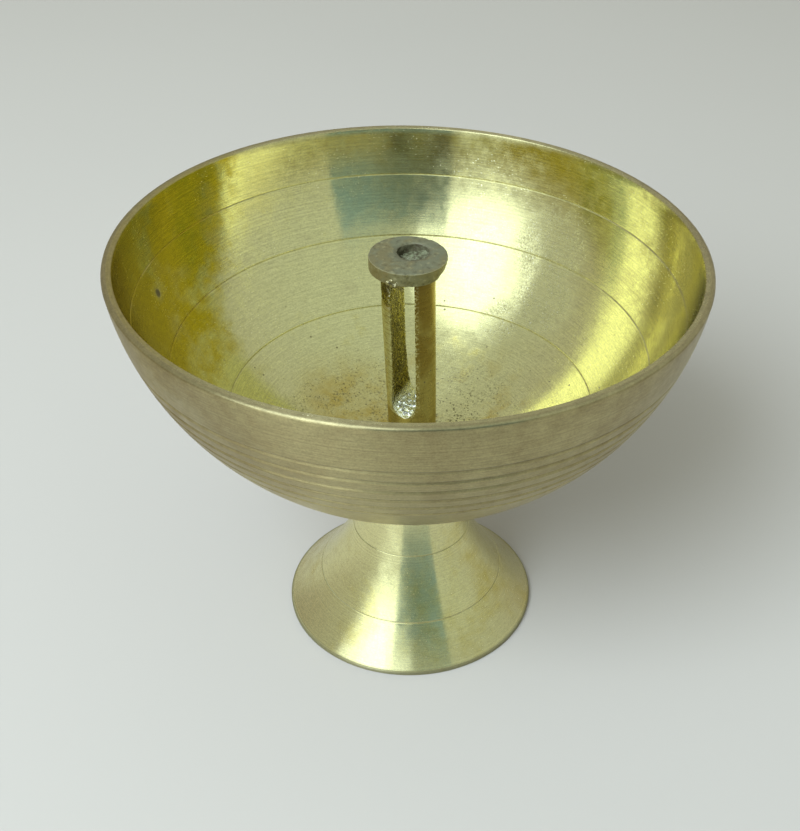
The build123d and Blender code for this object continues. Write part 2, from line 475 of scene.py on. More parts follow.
def cast_grain(place, seed):
    """Rough cast unevenness of a slot face, in metres."""
    coarse = uneven(place, 2.6 * MM, seed)
    grain = uneven(place, 0.75 * MM, seed + 3.0)
    fine = uneven(place, 0.33 * MM, seed + 7.0)
    return (0.11 * coarse + 0.12 * grain + 0.07 * fine) * MM


def outside_dent(place, side, front):
    """How far the outside of a leg is dented at a place: ticks at its edges, and the burnt top of the left leg."""
    x, y, height = place
    tick = uneven((side * 9 * MM + 0.3 * x, y, height * 1.6), 0.5 * MM, 5.0)
    dent = 0.09 * MM * front * max(0.0, tick + 0.25)
    if side < 0:
        burnt = held((height - NOTCH_HEIGHT) / (0.7 * MM))
        dent += burnt * (0.12 * MM + 1.1 * cast_grain(place, 21.0))
        notch = math.exp(-(((height - NOTCH_HEIGHT) / (0.32 * MM)) ** 2))
        dent += 0.30 * MM * notch * held(-y / (1.5 * MM))
    return dent


def leg_loop(holder, hole, post_radius, height, half, side):
    """Points and marks round one leg at a height: its turned outside, then its slot face."""
    radius = post_radius(height)
    full = half / (holder.slot_width / 2)
    face = half + side * holder.slot_right * full
    above = height - holder.saddle_height
    run_out, fill, burnt = 0.0, 0.0, 0.0
    if side > 0:
        below = (POST_HIGH.z - height) / (POST_HIGH.z - holder.saddle_height)
        face -= (0.25 + 0.4 * below) * MM * full
    else:
        run_out = 1.2 * MM * full * math.exp(-above / (3.0 * MM))
        fill = math.exp(-above / (5.5 * MM)) * full
        burnt = held((height - NOTCH_HEIGHT + 0.3 * MM) / (0.8 * MM))
    start = -math.acos(min(1.0, (face + run_out) / radius))
    end = math.acos(min(1.0, face / radius))
    points, cast, edge, pale = [], [], [], []
    for i in range(ARC_STEPS + 1):
        turn = start + (end - start) * i / ARC_STEPS
        nearness = max(0.0, 1.0 - min(i, ARC_STEPS - i) / 5.0)
        x, y = radius * math.cos(turn), radius * math.sin(turn)
        pull = 1.0 - outside_dent((side * x, y, height), side, nearness) / radius
        points.append(Vector((side * x * pull, y * pull, height)))
        cast.append(max(0.85 * burnt, 0.0 if 0 < i < ARC_STEPS else 0.5))
        edge.append(nearness)
        pale.append((1.0 - burnt) * held(1.5 - 2.6 * i / ARC_STEPS) if side < 0 else 0.0)
    front, across = radius * math.sin(start), radius * math.sin(end)
    in_saddle = half < TINY
    for i in range(1, CHORD_STEPS):
        share = i / CHORD_STEPS
        y = across + (front - across) * share
        x = face - 1.0 * MM * fill * (1 - share) ** 1.5 + run_out * share**2
        x += min(1.0, 1.5 * full + 0.35) * cast_grain((side * 5 * MM, y, height), 2.0 + side)
        bite = holder.hole_radius**2 - (y - hole[1]) ** 2
        if height > hole[2] and bite > 0:
            x = max(x, side * hole[0] + math.sqrt(bite))
        lift = 1.5 * cast_grain((0.0, y, height), 11.0) if in_saddle else 0.0
        points.append(Vector((0.0 if in_saddle else side * x, y, height + lift)))
        cast.append(1.0)
        edge.append(max(0.0, 1.0 - min(i, CHORD_STEPS - i) / 3.0))
        pale.append(0.0)
    return points, cast, edge, pale


def worn_lip(holder, point):
    """How far the saddle's front lip is worn down at a point, in metres."""
    front = held((-point[1] - 1.9 * MM) / (2.3 * MM))
    rise = (point[2] - holder.saddle_height) / MM
    return 0.75 * MM * front**2 * math.exp(-((rise / 1.5) ** 2)) * max(0.0, 1.0 - abs(point[0]) / (3.4 * MM))


def slotted_post(name, holder, bottom, top):
    """Wick post: a turned bar with a tapped hole below and two bent legs, split by the rough cast slot."""
    work = bmesh.new()
    layers = [work.verts.layers.float.new(key) for key in ("cast", "edge", "pale")]
    turn = Matrix.Rotation(holder.slot_turn, 3, "Z")
    back = turn.inverted() @ Vector((holder.lean, holder.hole_back, 0.0))
    hole = (back.x, back.y, DISC_HIGH.z - holder.hole_depth)
    bend = STUD_HIGH.z

    def post_radius(height):
        share = (height - bottom) / (top - bottom)
        return holder.base_radius + (holder.top_radius - holder.base_radius) * share

    def vertex(point, *marks):
        share = max(0.0, (point[2] - bend) / (top - bend))
        moved = turn @ Vector(point) - Vector((holder.lean * share, 0.0, 0.0))
        moved.z -= worn_lip(holder, point)
        made = work.verts.new(moved)
        for layer, mark in zip(layers, marks):
            made[layer] = mark
        return made

    count = 2 * ARC_STEPS
    angles = [angle - QUARTER_TURN for angle in round_angles(count)]

    def ring(radii, height, cast=0.0):
        return [vertex((r * math.cos(a), r * math.sin(a), height), cast, 0.0, 0.0) for r, a in zip(radii, angles)]

    tapped_top = STUD_HIGH.z + TAP_END_ROOM
    rings = [[vertex((0.0, 0.0, tapped_top + DRILL_POINT), 0.4, 0.0, 0.0)]]
    for height in steps(tapped_top, bottom + 0.3 * MM, TAP_STEP):
        radii = [thread_radius(holder, height, a + holder.slot_turn, TAP_ROOM) for a in angles]
        rings.append(ring(radii, height, 0.4))
    rings.append(ring([holder.thread_radius + 0.25 * MM] * count, bottom))
    rings.append(ring([holder.base_radius - POST_CHAMFER] * count, bottom))
    for height in steps(bottom + POST_CHAMFER, holder.saddle_height, POST_STEP):
        rings.append(ring([post_radius(height)] * count, height))
    for low, high in zip(rings, rings[1:]):
        bridge(work, low, high)

    levels = leg_levels(holder, top)
    saddle = rings[-1]
    first = leg_loop(holder, hole, post_radius, *levels[0], 1)
    shared = [vertex(point, 1.0, 0.3, 0.0) for point in first[0][ARC_STEPS + 1:]]
    for side in (1, -1):
        below = [saddle[(side * i) % count] for i in range(ARC_STEPS + 1)] + shared
        for height, half in levels[1:]:
            loop = leg_loop(holder, hole, post_radius, height, half, side)
            above = [vertex(*item) for item in zip(*loop)]
            bridge(work, below, above)
            below = above
        work.faces.new(below)
    smooth_faces(work, POST_SHARP)
    return written(name, work)


DISC_SIDES = 240
DISC_RINGS = 14
DISC_BEVEL = 0.12 * MM
DISC_MIDDLE = Vector(((DISC_LOW.x + DISC_HIGH.x) / 2, (DISC_LOW.y + DISC_HIGH.y) / 2, 0.0))


def wick_disc(name, holder):
    """Disc with its off-centre hole, chipped edge, scaled top and a broken lower corner at the right."""
    low, high = DISC_LOW.z, DISC_HIGH.z
    hole = Vector((0.0, holder.hole_back, 0.0))
    angles = round_angles(DISC_SIDES)

    def hole_edge(angle, height):
        way = level_way(angle)
        place = (way.x * 3 * MM, way.y * 3 * MM, height)
        rough = 0.17 * MM * uneven(place, 1.1 * MM, 4.0) + 0.05 * MM * uneven(place, 0.4 * MM, 8.0)
        return hole + way * (holder.hole_radius + rough)

    def outer_edge(angle, height, inset=0.0):
        way = level_way(angle)
        place = (way.x * 6.5 * MM, way.y * 6.5 * MM, height)
        share = (height - low) / (high - low)
        radius = holder.disc_radius - 0.05 * MM
        radius += 0.05 * MM * uneven(place, 3.0 * MM, 1.0) + 0.03 * MM * uneven(place, 0.7 * MM, 9.0)
        chip = max(0.0, uneven((place[0], place[1], 0.0), 1.5 * MM, 14.0) - 0.32)
        radius -= 0.5 * MM * chip * abs(2 * share - 1)
        swing = (math.degrees(angle) + 180) % 360 - 180
        broken = math.exp(-(((swing + 6) / 30) ** 2))
        radius -= 0.24 * MM * broken * held((0.68 - share) * 7)
        radius -= 0.95 * MM * broken * max(0.0, 0.36 - share) / 0.36
        return DISC_MIDDLE + way * (radius - inset)

    def across(height, share):
        ends = ((hole_edge(a, height), outer_edge(a, height, DISC_BEVEL)) for a in angles)
        return [inner.lerp(outer, share) for inner, outer in ends]

    rings, marks = [], []

    def add(bases, heights, side):
        rings.append([(base.x, base.y, height) for base, height in zip(bases, heights)])
        marks.append(side)

    for i in range(DISC_RINGS + 1):
        share = i / DISC_RINGS
        bases = across(high, 0.05 + 0.95 * share)
        heights = []
        for base in bases:
            flat = (base.x, base.y, 0.0)
            sink = 0.05 * MM * (uneven(flat, 1.6 * MM, 2.0) - 1.0) + 0.03 * MM * uneven(flat, 0.5 * MM, 6.0)
            heights.append(high + sink - 0.30 * MM * math.exp(-share * 11) - 0.02 * MM)
        add(bases, heights, 0.0)
    for height in steps(high - DISC_BEVEL * 0.8, low + DISC_BEVEL, 0.16 * MM):
        add([outer_edge(a, height) for a in angles], [height] * DISC_SIDES, 1.0)
    for i in range(DISC_RINGS + 1):
        add(across(low, 1 - i / DISC_RINGS), [low] * DISC_SIDES, 0.6)
    for height in steps(low, high - 0.35 * MM, 0.2 * MM)[1:]:
        add([hole_edge(a, height) for a in angles], [height] * DISC_SIDES, 0.3)
    return skin(name, rings, "side", marks, closed=True, sharp=DISC_SHARP)


# Lumps, each with its angle and distance from the disc's middle, its rise above the disc's underside and its size
BRAZE_BEADS = (
    (246.0, 6.35, 0.75, 0.50), (240.0, 6.30, 0.30, 0.55), (250.5, 6.25, 0.15, 0.52), (255.0, 6.35, 0.55, 0.34),
    (245.0, 5.85, -0.10, 0.62), (252.0, 5.45, -0.45, 0.50), (240.0, 5.30, -0.35, 0.55), (247.0, 4.90, -0.75, 0.50),
    (255.0, 4.80, -1.15, 0.40), (258.0, 4.60, -1.70, 0.34), (261.0, 4.75, -0.55, 0.36), (233.0, 5.10, -0.20, 0.42),
    (222.0, 4.95, -0.10, 0.38), (206.0, 4.85, -0.10, 0.34), (188.0, 4.80, -0.10, 0.30), (166.0, 4.80, -0.10, 0.32),
    (144.0, 4.75, -0.10, 0.30), (40.0, 4.80, -0.10, 0.32), (18.0, 4.75, -0.10, 0.26), (352.0, 4.75, -0.08, 0.24),
    (330.0, 4.70, -0.08, 0.22),
)

# Lumps in the saddle, each with its place right and back from the slot's middle, its rise and its size
SADDLE_BEADS = (
    (-0.9, -3.4, 0.00, 0.55), (-0.2, -3.7, -0.40, 0.60), (0.5, -3.5, -0.30, 0.50), (-1.5, -3.0, 0.55, 0.50),
    (-0.6, -2.5, -0.05, 0.55), (0.3, -2.6, -0.20, 0.50), (1.0, -3.0, 0.10, 0.45), (-1.7, -2.0, 0.95, 0.45),
    (-1.1, -1.3, 0.25, 0.50), (0.0, -1.2, -0.15, 0.50), (0.9, -1.4, 0.15, 0.45), (-0.5, 0.2, -0.05, 0.45),
    (0.5, 0.4, -0.05, 0.40), (-1.5, 0.0, 0.65, 0.45), (-1.0, 1.6, 0.25, 0.40), (0.2, 1.9, -0.05, 0.40),
)

CRUST_SIDES = 96
CRUST_STEP = 0.12 * MM
LUMP_VOXEL = 0.1 * MM


def saddle_places(holder):
    """Middle and size of each lump of metal that has run into the saddle."""
    turn = Matrix.Rotation(holder.slot_turn, 3, "Z")
    for right, behind, rise, size in SADDLE_BEADS:
        yield turn @ Vector((right * MM, behind * MM, holder.saddle_height + rise * MM)), size * MM


def braze_places():
    """Middle and size of each lump of braze."""
    for angle, distance, rise, size in BRAZE_BEADS:
        place = DISC_MIDDLE + distance * MM * level_way(math.radians(angle))
        yield Vector((place.x, place.y, DISC_LOW.z + rise * MM)), size * MM


def crust_plug(name, holder):
    """Burnt crust that fills the wick hole, deepest at its back left."""
    middle = Vector((0.0, holder.hole_back, 0.0))
    top, bottom = DISC_HIGH.z, DISC_HIGH.z - holder.hole_depth + 0.3 * MM
    rings = [[(middle.x, middle.y, top - 1.25 * MM)]]
    for radius in steps(CRUST_STEP, holder.hole_radius + CRUST_STEP, CRUST_STEP):
        ring = []
        for turn in round_angles(CRUST_SIDES):
            place = middle + radius * level_way(turn)
            slope = (0.55 * (place.y - middle.y) - 0.85 * (place.x - middle.x)) / holder.hole_radius
            rough = 0.35 * uneven(place, 0.9 * MM, 31.0) + 0.16 * uneven(place, 0.35 * MM, 37.0)
            ring.append((place.x, place.y, top - max(0.45, 1.2 + 0.75 * slope + rough) * MM))
        rings.append(ring)
    rings += [[(x, y, bottom) for x, y, _ in rings[-1]], [(middle.x, middle.y, bottom)]]
    return skin(name, rings, "groove", [0.0] * len(rings))


def flowed_lumps(name, places):
    """Object of uneven lumps that have flowed together."""
    rough = bmesh.new()
    for number, (place, size) in enumerate(places):
        bead = bmesh.ops.create_icosphere(rough, subdivisions=3, radius=size)
        for vertex in bead["verts"]:
            swell = 1.0 + 0.5 * uneven(vertex.co, 0.4 * MM, 2.0 + number)
            vertex.co = place + vertex.co * swell
    seed_mesh = bpy.data.meshes.new(name + "_beads")
    rough.to_mesh(seed_mesh)
    rough.free()
    thing = placed(name, seed_mesh)
    remesh = thing.modifiers.new("Flow together", "REMESH")
    remesh.mode = "VOXEL"
    remesh.voxel_size = LUMP_VOXEL
    thing.modifiers.new("Relax", "SMOOTH").iterations = 2
    ready = thing.evaluated_get(bpy.context.evaluated_depsgraph_get())
    flowed = bpy.data.meshes.new_from_object(ready)
    thing.modifiers.clear()
    thing.data = flowed
    bpy.data.meshes.remove(seed_mesh)
    flowed.shade_smooth()
    return thing


# Finishes

class Field:
    """A value that varies over a piece. Sums and products join fields, and | takes the greater of two."""

    def __init__(self, tree, socket):
        self.tree, self.socket = tree, socket

    def join(self, operation, other):
        return self.tree.math(operation, self, other)

    __add__ = partialmethod(join, "ADD")
    __sub__ = partialmethod(join, "SUBTRACT")
    __mul__ = partialmethod(join, "MULTIPLY")
    __truediv__ = partialmethod(join, "DIVIDE")
    __pow__ = partialmethod(join, "POWER")
    __or__ = partialmethod(join, "MAXIMUM")

    def __rsub__(self, other):
        return self.tree.math("SUBTRACT", other, self)

    def spread(self, low, high, to_low=0.0, to_high=1.0):
        """Field that eases from one value to another as this one goes from low to high."""
        inputs = {"Value": self, "From Min": low, "From Max": high, "To Min": to_low, "To Max": to_high}
        return self.tree.node("MapRange", inputs, interpolation_type="SMOOTHSTEP")


class Nodes:
    """The nodes of a material or the world, with short calls that add a node and join its sockets."""

    def __init__(self, owner, shader, coordinates):
        owner.use_nodes = True
        self.owner = owner
        self.nodes, self.links = owner.node_tree.nodes, owner.node_tree.links
        self.shader = self.nodes[shader]
        self.place = self.node("TexCoord", {}, coordinates)

    def add(self, kind, inputs, **settings):
        made = self.nodes.new("ShaderNode" + kind)
        for key, value in settings.items():
            setattr(made, key, value)
        for key, value in inputs.items():
            self.feed(made.inputs[key], value)
        return made

    def node(self, kind, inputs, output=0, **settings):
        return Field(self, self.add(kind, inputs, **settings).outputs[output])

    def feed(self, socket, value):
        if isinstance(value, Field):
            self.links.new(value.socket, socket)
        elif socket.type == "RGBA" and len(value) == 3:
            socket.default_value = (*value, 1.0)
        else:
            socket.default_value = value

    def set(self, name, value):
        self.feed(self.shader.inputs[name], value)

    def math(self, operation, first, second=0.0):
        return self.node("Math", {0: first, 1: second}, operation=operation)

    def blend(self, share, first, second, kind="MIX"):
        return self.node("Mix", {0: share, 6: first, 7: second}, 2, data_type="RGBA", blend_type=kind)


class Finish(Nodes):
    """A piece's material."""

    def __init__(self, name):
        super().__init__(bpy.data.materials.new(name), "Principled BSDF", "Object")
        split = self.add("SeparateXYZ", {0: self.place})
        self.x, self.y, self.z = (Field(self, output) for output in split.outputs)
        flat = self.node("CombineXYZ", {"X": self.x, "Y": self.y, "Z": 0.0})
        self.radius = self.node("VectorMath", {0: flat}, "Value", operation="LENGTH")

    def coats(self, tone, *coats):
        """Tone under thin coats, each with its share and its colour."""
        for share, colour_above in coats:
            tone = self.blend(share, tone, colour_above)
        return tone

    def shade(self, tone, *shares):
        for share in shares:
            tone = self.blend(1.0, tone, share, "MULTIPLY")
        return tone

    def cloud(self, scale, detail=3.0, roughness=0.55, vector=None, twist=0.0):
        inputs = {"Scale": scale, "Detail": detail, "Roughness": roughness, "Distortion": twist}
        return self.node("TexNoise", {"Vector": vector or self.place, **inputs})

    def rings(self, along, per_metre):
        inputs = {"W": along * per_metre, "Scale": 1.0, "Detail": 2.0}
        return self.node("TexNoise", inputs, noise_dimensions="1D")

    def dashes(self, along, per_turn, per_metre):
        """Noise drawn out round the axis, like turning marks that break off."""
        parts = {"X": self.x / self.radius * per_turn, "Y": self.y / self.radius * per_turn, "Z": along * per_metre}
        return self.cloud(1.0, 2.0, 0.6, self.node("CombineXYZ", parts))

    def specks(self, scale, size, share):
        """Scattered round specks on a share of a grid of cells."""
        cells = self.add("TexVoronoi", {"Vector": self.place, "Scale": scale})
        dot = Field(self, cells.outputs["Distance"]).spread(size, size * 0.55)
        chance = self.node("SeparateColor", {"Color": Field(self, cells.outputs["Color"])})
        return dot * self.math("GREATER_THAN", chance, 1.0 - share)

    def mark(self, name):
        return self.node("Attribute", {}, "Fac", attribute_name=name)

    def distance(self, spot):
        return self.node("VectorMath", {0: self.place, 1: spot}, "Value", operation="DISTANCE")

    def near(self, spot, reach):
        """1 at a spot on the lamp, fading to 0 at a distance."""
        return self.distance(spot).spread(reach, 0.0)

    def bumps(self, *layers):
        """Normal over layers of bumps, each with its height field, its depth in millimetres and its strength."""
        inputs = {}
        for height, depth, strength in layers:
            normal = self.node("Bump", {"Height": height, "Distance": depth * MM, "Strength": strength, **inputs})
            inputs = {"Normal": normal}
        return normal

    def brush_round(self):
        """Draws highlights out across the turning marks."""
        self.set("Anisotropic", 0.9)
        self.set("Anisotropic Rotation", 0.25)
        self.set("Tangent", self.node("Tangent", {}, direction_type="RADIAL", axis="Z"))

    def surface(self, tone, rough, normal=None, metal=None):
        """The material, once its surface is set."""
        values = {"Base Color": tone, "Roughness": rough, "Normal": normal, "Metallic": metal}
        for name, value in values.items():
            if value is not None:
                self.set(name, value)
        return self.owner


# Marks in the bowl: middle of its wall, spilt butter, soiled spots with their reach, and a pit
WALL_CENTRE = (0.0, 0.0, 82.98 * MM)
SPILT_SPOT = (-11.0 * MM, 11.0 * MM, 37.0 * MM)
SOILED_SPOTS = (
    ((26.5 * MM, 33.0 * MM, 59.0 * MM), 12.0 * MM),
    ((25.0 * MM, 26.0 * MM, 51.0 * MM), 10.0 * MM),
    ((17.0 * MM, 26.6 * MM, 46.0 * MM), 7.0 * MM),
)
PIT_SPOT = (-44.0 * MM, 7.0 * MM, 63.3 * MM)
# Near-white colour of nicks, chips and scratches, paler than brass: painted glints
NICK_GLINT_BRASS = (0.96, 0.95, 0.82)


def bowl_brass(colours):
    """Polished turned brass, tarnished at the sides and outside, with broken rings, burnt specks and a small pit;
    near-white nicks and grains are painted glints, and the dark outside coat and the heavier olive on the left wall
    hold painted reflection.
    """
    finish = Finish("bowl_brass")
    x, z, radius = finish.x, finish.z, finish.radius
    along = radius + z
    blotch = finish.cloud(42.0, 4.0, 0.6, twist=0.6)
    mottle = finish.cloud(420.0, 6.0, 0.62)
    patch = finish.cloud(130.0, 3.0, 0.5)
    fine = finish.cloud(3000.0, 3.0, 0.7)
    lines = finish.dashes(along, 26.0, 3300.0) * 0.6 + finish.rings(along, 2400.0) * 0.4

    outside = finish.distance(WALL_CENTRE).spread(49.35 * MM, 49.7 * MM)
    inside = 1.0 - outside
    right = x.spread(30.0 * MM, 47.0 * MM)
    film = blotch + (mottle - 0.5) * 0.5
    # Olive tarnish in blotches, heavier towards the left wall; the extra on the left is a painted reflection of warm
    # surroundings
    olive_film_and_left_reflection = (film + x.spread(-27.0 * MM, -43.0 * MM) * 0.5).spread(0.58, 0.96, 0.0, 0.96)
    brown = (film + right * 0.24).spread(0.56, 0.82, 0.0, 0.7)
    lip = z.spread(BOWL_HIGH.z - 0.35 * MM, BOWL_HIGH.z - 0.1 * MM, 0.0, 0.7)
    tone = finish.coats(
        colours.clean_brass,
        (olive_film_and_left_reflection, colours.olive_tarnish),
        (brown * right, colours.brown_tarnish),
        (patch.spread(0.52, 0.78, 0.0, 0.35), colours.grey_tarnish),
        # Dark brown coat on the outside: tarnish together with a painted dark reflection
        (outside * film.spread(0.25, 0.75, 0.74, 0.97), colours.outside_tarnish_and_reflection),
        (lip, colours.grey_tarnish),
    )
    tone = finish.shade(tone, lines.spread(0.34, 0.66, 0.80, 1.0), fine.spread(0.32, 0.62, 0.82, 1.0))

    # Nicks and specks in rubbed patches, coloured near-white: painted glints
    nick_glints = finish.dashes(along, 75.0, 4600.0).spread(0.66, 0.74)
    rubbed = finish.cloud(75.0, 3.0).spread(0.44, 0.64)
    bright = (nick_glints | finish.specks(1700.0, 0.18, 0.30)) * rubbed * inside

    floor = z.spread(53.0 * MM, 46.0 * MM) * radius.spread(5.0 * MM, 6.5 * MM) * inside
    dirty = radius.spread(33.0 * MM, 9.0 * MM) * floor
    stain = finish.cloud(150.0, 4.0, 0.6).spread(0.48, 0.72) * dirty
    spilt = finish.near(SPILT_SPOT, 15.0 * MM) * floor * film.spread(0.35, 0.6, 0.35, 1.0)
    clump = finish.cloud(230.0, 4.0, 0.65).spread(0.38, 0.58)
    grit = finish.cloud(2300.0, 3.0, 0.75).spread(0.53, 0.63) * clump
    crumbs = finish.specks(1500.0, 0.34, 0.22) * patch.spread(0.38, 0.56)
    flecks = finish.specks(620.0, 0.17, 0.12) * floor
    grime = finish.math("MINIMUM", (grit | crumbs) * (dirty * 1.9) | flecks, 0.8)
    soiled = finish.near(*SOILED_SPOTS[0])
    for spot, reach in SOILED_SPOTS[1:]:
        soiled = soiled | finish.near(spot, reach)
    soiled = soiled.spread(0.0, 0.6) * inside * mottle.spread(0.36, 0.56, 0.35, 1.0)
    pit = finish.near(PIT_SPOT, 1.5 * MM).spread(0.25, 0.8)
    grime = grime | soiled * fine.spread(0.44, 0.60, 0.10, 0.66) | finish.mark("groove") ** 2.0 * 0.3 | pit * 0.9
    tone = finish.coats(
        tone,
        (bright * 0.5, NICK_GLINT_BRASS),
        ((stain | spilt) * 0.85, colours.stain),
        # Near-white grains among the soiled patch's dark specks: painted glints
        (soiled * fine.spread(0.40, 0.32), (0.95, 0.94, 0.78)),
        (finish.near(PIT_SPOT, 2.3 * MM) * 0.65, colours.grey_tarnish),
        (grime, colours.crumbs),
    )
    rough = mottle.spread(0.3, 0.75, 0.12, 0.20) + olive_film_and_left_reflection * 0.07 + (lip | outside) * 0.16 + (grime | bright) * 0.3
    finish.brush_round()
    normal = finish.bumps((lines, 0.008, 0.4), (pit, -0.05, 0.5), (mottle, 0.02, 0.22))
    return finish.surface(tone, rough, normal, 1.0 - grime * 0.8)


def foot_brass(colours):
    """Satin turned brass with fine lathe lines, a few scratches and chips painted near-white as glints, and painted
    shade darkening its lowest edge.
    """
    finish = Finish("foot_brass")
    z = finish.z
    along = z - finish.radius
    blotch = finish.cloud(60.0, 4.0, 0.6, twist=0.5)
    mottle = finish.cloud(460.0, 6.0, 0.62)
    fine = finish.cloud(3000.0, 3.0, 0.7)
    lines = finish.dashes(along, 22.0, 4200.0) * 0.55 + finish.rings(along, 2600.0) * 0.45
    # Scratches and chips coloured near-white: painted glints
    chip_glints = finish.specks(1700.0, 0.17, 0.3) | finish.dashes(along, 60.0, 4800.0).spread(0.67, 0.75)
    bright = chip_glints * blotch.spread(0.45, 0.65)
    # Dirt in the scored circles; the groove marks on the stepped edge and the darkening of the lowest millimetre are
    # painted shade
    grime = finish.mark("groove") ** 2.0 * 0.6 | z.spread(0.95 * MM, 0.7 * MM, 0.0, 0.7)
    tone = finish.coats(
        colours.clean_brass,
        ((blotch + mottle * 0.4).spread(0.62, 1.0, 0.0, 0.6), colours.olive_tarnish),
        (z.spread(9.0 * MM, 0.5 * MM, 0.0, 0.35), colours.grey_tarnish),
    )
    tone = finish.shade(tone, lines.spread(0.34, 0.66, 0.84, 1.0), fine.spread(0.32, 0.62, 0.86, 1.0))
    tone = finish.coats(tone, (bright * 0.45, NICK_GLINT_BRASS), (grime, colours.grime))
    finish.brush_round()
    rough = mottle.spread(0.3, 0.75, 0.18, 0.26) + (grime | bright) * 0.3
    return finish.surface(tone, rough, finish.bumps((lines, 0.008, 0.4), (mottle, 0.02, 0.2)), 1.0 - grime * 0.7)


def stud_brass(colours):
    """Cut brass thread, bright on the crests and dark with old butter in the roots."""
    finish = Finish("stud_brass")
    mottle = finish.cloud(900.0, 5.0, 0.6)
    dirt = finish.radius.spread(2.95 * MM, 2.5 * MM) * mottle.spread(0.35, 0.6, 0.35, 0.9)
    tarnish = mottle.spread(0.4, 0.7, 0.0, 0.7)
    tone = finish.coats(colours.clean_brass, (tarnish, colours.olive_tarnish), (dirt, colours.grime))
    rough = mottle.spread(0.3, 0.7, 0.25, 0.45)
    return finish.surface(tone, rough, finish.bumps((mottle, 0.02, 0.5)), 1.0 - dirt * 0.7)


def post_brass(colours):
    """Flame-stained brass: smooth and turned outside, granular as cast in the slot, with worn edges and slot grains
    painted bright as glints, a pale saddle lightened as a painted highlight and painted shade under the disc.
    """
    finish = Finish("post_brass")
    z = finish.z
    cast, edge, pale = (finish.mark(key) for key in ("cast", "edge", "pale"))
    rings = finish.rings(z + finish.cloud(300.0, 2.0) * 0.0004, 1800.0)
    blotch = finish.cloud(210.0, 4.0, 0.6, twist=0.4)
    grain = finish.cloud(1900.0, 4.0, 0.7)
    mottle = finish.cloud(700.0, 5.0, 0.6)
    filed = finish.node("Mapping", {"Vector": finish.place, "Scale": (520.0, 520.0, 5200.0)})
    ticks = finish.cloud(1.0, 3.0, 0.6, filed)
    stain = (blotch + z.spread(44.0 * MM, 70.0 * MM) * 0.18).spread(0.38, 0.72)
    outside = finish.coats(colours.clean_brass, (0.75, colours.brown_brass), (stain, colours.brown_brass))
    outside = finish.shade(outside, rings.spread(0.25, 0.75, 0.85, 1.0))
    outside = finish.coats(outside, (pale * ticks.spread(0.38, 0.56, 0.25, 1.0), colours.filed_brass_and_highlight))
    inside = finish.coats(
        colours.cast_brass,
        (0.88, colours.grime),
        (grain.spread(0.44, 0.58), colours.cast_brass),
        (blotch.spread(0.43, 0.60, 0.0, 0.72), colours.grime),
        # Pale silvery coat low in the slot: the run metal's colour, lightened as a painted highlight
        (z.spread(48.2 * MM, 46.4 * MM) * grain.spread(0.34, 0.48, 0.2, 0.9), (0.88, 0.88, 0.70)),
        # Bright yellow grains on the slot faces: painted glints
        (finish.cloud(2100.0, 3.0, 0.6).spread(0.60, 0.66) * 0.85, (0.95, 0.84, 0.25)),
    )
    # Bright flecks along the slot's edges: worn edges coloured near-white, a painted glint
    worn = edge * finish.cloud(2600.0, 2.0, 0.5).spread(0.49, 0.58)
    soot = z.spread(68.5 * MM, 73.0 * MM) * mottle.spread(0.4, 0.6) * cast.spread(0.0, 1.0, 0.25, 0.75)
    # Dark band at the top of the legs, under the disc's overhang: painted shade, joined below with the soot and
    # specks
    under_disc_shade = z.spread(POST_HIGH.z - 0.75 * MM, POST_HIGH.z - 0.3 * MM, 0.0, 0.85)
    grime = soot | under_disc_shade | finish.specks(900.0, 0.24, 0.12) * 0.8
    tone = finish.coats(outside, (cast, inside), (worn * 0.9, (0.97, 0.95, 0.76)), (grime, colours.grime))
    finish.set("Specular Tint", (1.0, 0.93, 0.62))
    granular = grain.spread(0.35, 0.65, 0.14, 0.32)
    rough = granular * cast + mottle.spread(0.3, 0.7, 0.24, 0.36) * (1.0 - cast) + grime * 0.3
    rough_cast, filed_strip = (grain * cast, 0.32, 1.0), (ticks * pale, 0.09, 0.7)
    normal = finish.bumps((rings, 0.02, 0.45), rough_cast, filed_strip, (mottle, 0.02, 0.4))
    return finish.surface(tone, rough, normal, 1.0 - grime * 0.75)


def disc_brass(colours):
    """Heat-tarnished disc: grey scale on top, browner on the side, a painted highlight along its top corner and soot
    in the hole.
    """
    finish = Finish("disc_brass")
    side = finish.mark("side")
    blotch = finish.cloud(320.0, 5.0, 0.62, twist=0.5)
    scale = finish.cloud(1300.0, 5.0, 0.65)
    left = finish.x.spread(-1.0 * MM, -6.5 * MM, 0.0, 0.16)
    # Top corner of the disc's side, coloured lighter: painted highlight
    corner = finish.z.spread(DISC_HIGH.z - 0.28 * MM, DISC_HIGH.z - 0.1 * MM) * side
    from_hole = finish.distance((0.0, 1.5 * MM, DISC_HIGH.z))
    in_hole = finish.math("LESS_THAN", finish.math("ABSOLUTE", side - 0.3), 0.1)
    soot = from_hole.spread(3.5 * MM, 2.7 * MM) * scale.spread(0.35, 0.6, 0.35, 0.9)
    soot = soot | in_hole * scale.spread(0.4, 0.62, 0.5, 0.95)
    grime = soot | finish.specks(1300.0, 0.16, 0.08) * 0.4
    tone = finish.coats(
        colours.scorched,
        (side, colours.scorched_side),
        ((blotch + left).spread(0.44, 0.72, 0.0, 0.4), colours.brown_brass),
        (scale.spread(0.55, 0.72, 0.0, 0.4), colours.grey_tarnish),
        (scale.spread(0.46, 0.32, 0.0, 0.4), colours.grime),
        (corner * 0.4, colours.filed_brass_and_highlight),
        (grime, colours.grime),
    )
    rough = scale.spread(0.3, 0.7, 0.40, 0.62)
    return finish.surface(tone, rough, finish.bumps((blotch, 0.08, 0.5), (scale, 0.08, 0.8)), 0.75 - grime * 0.6)


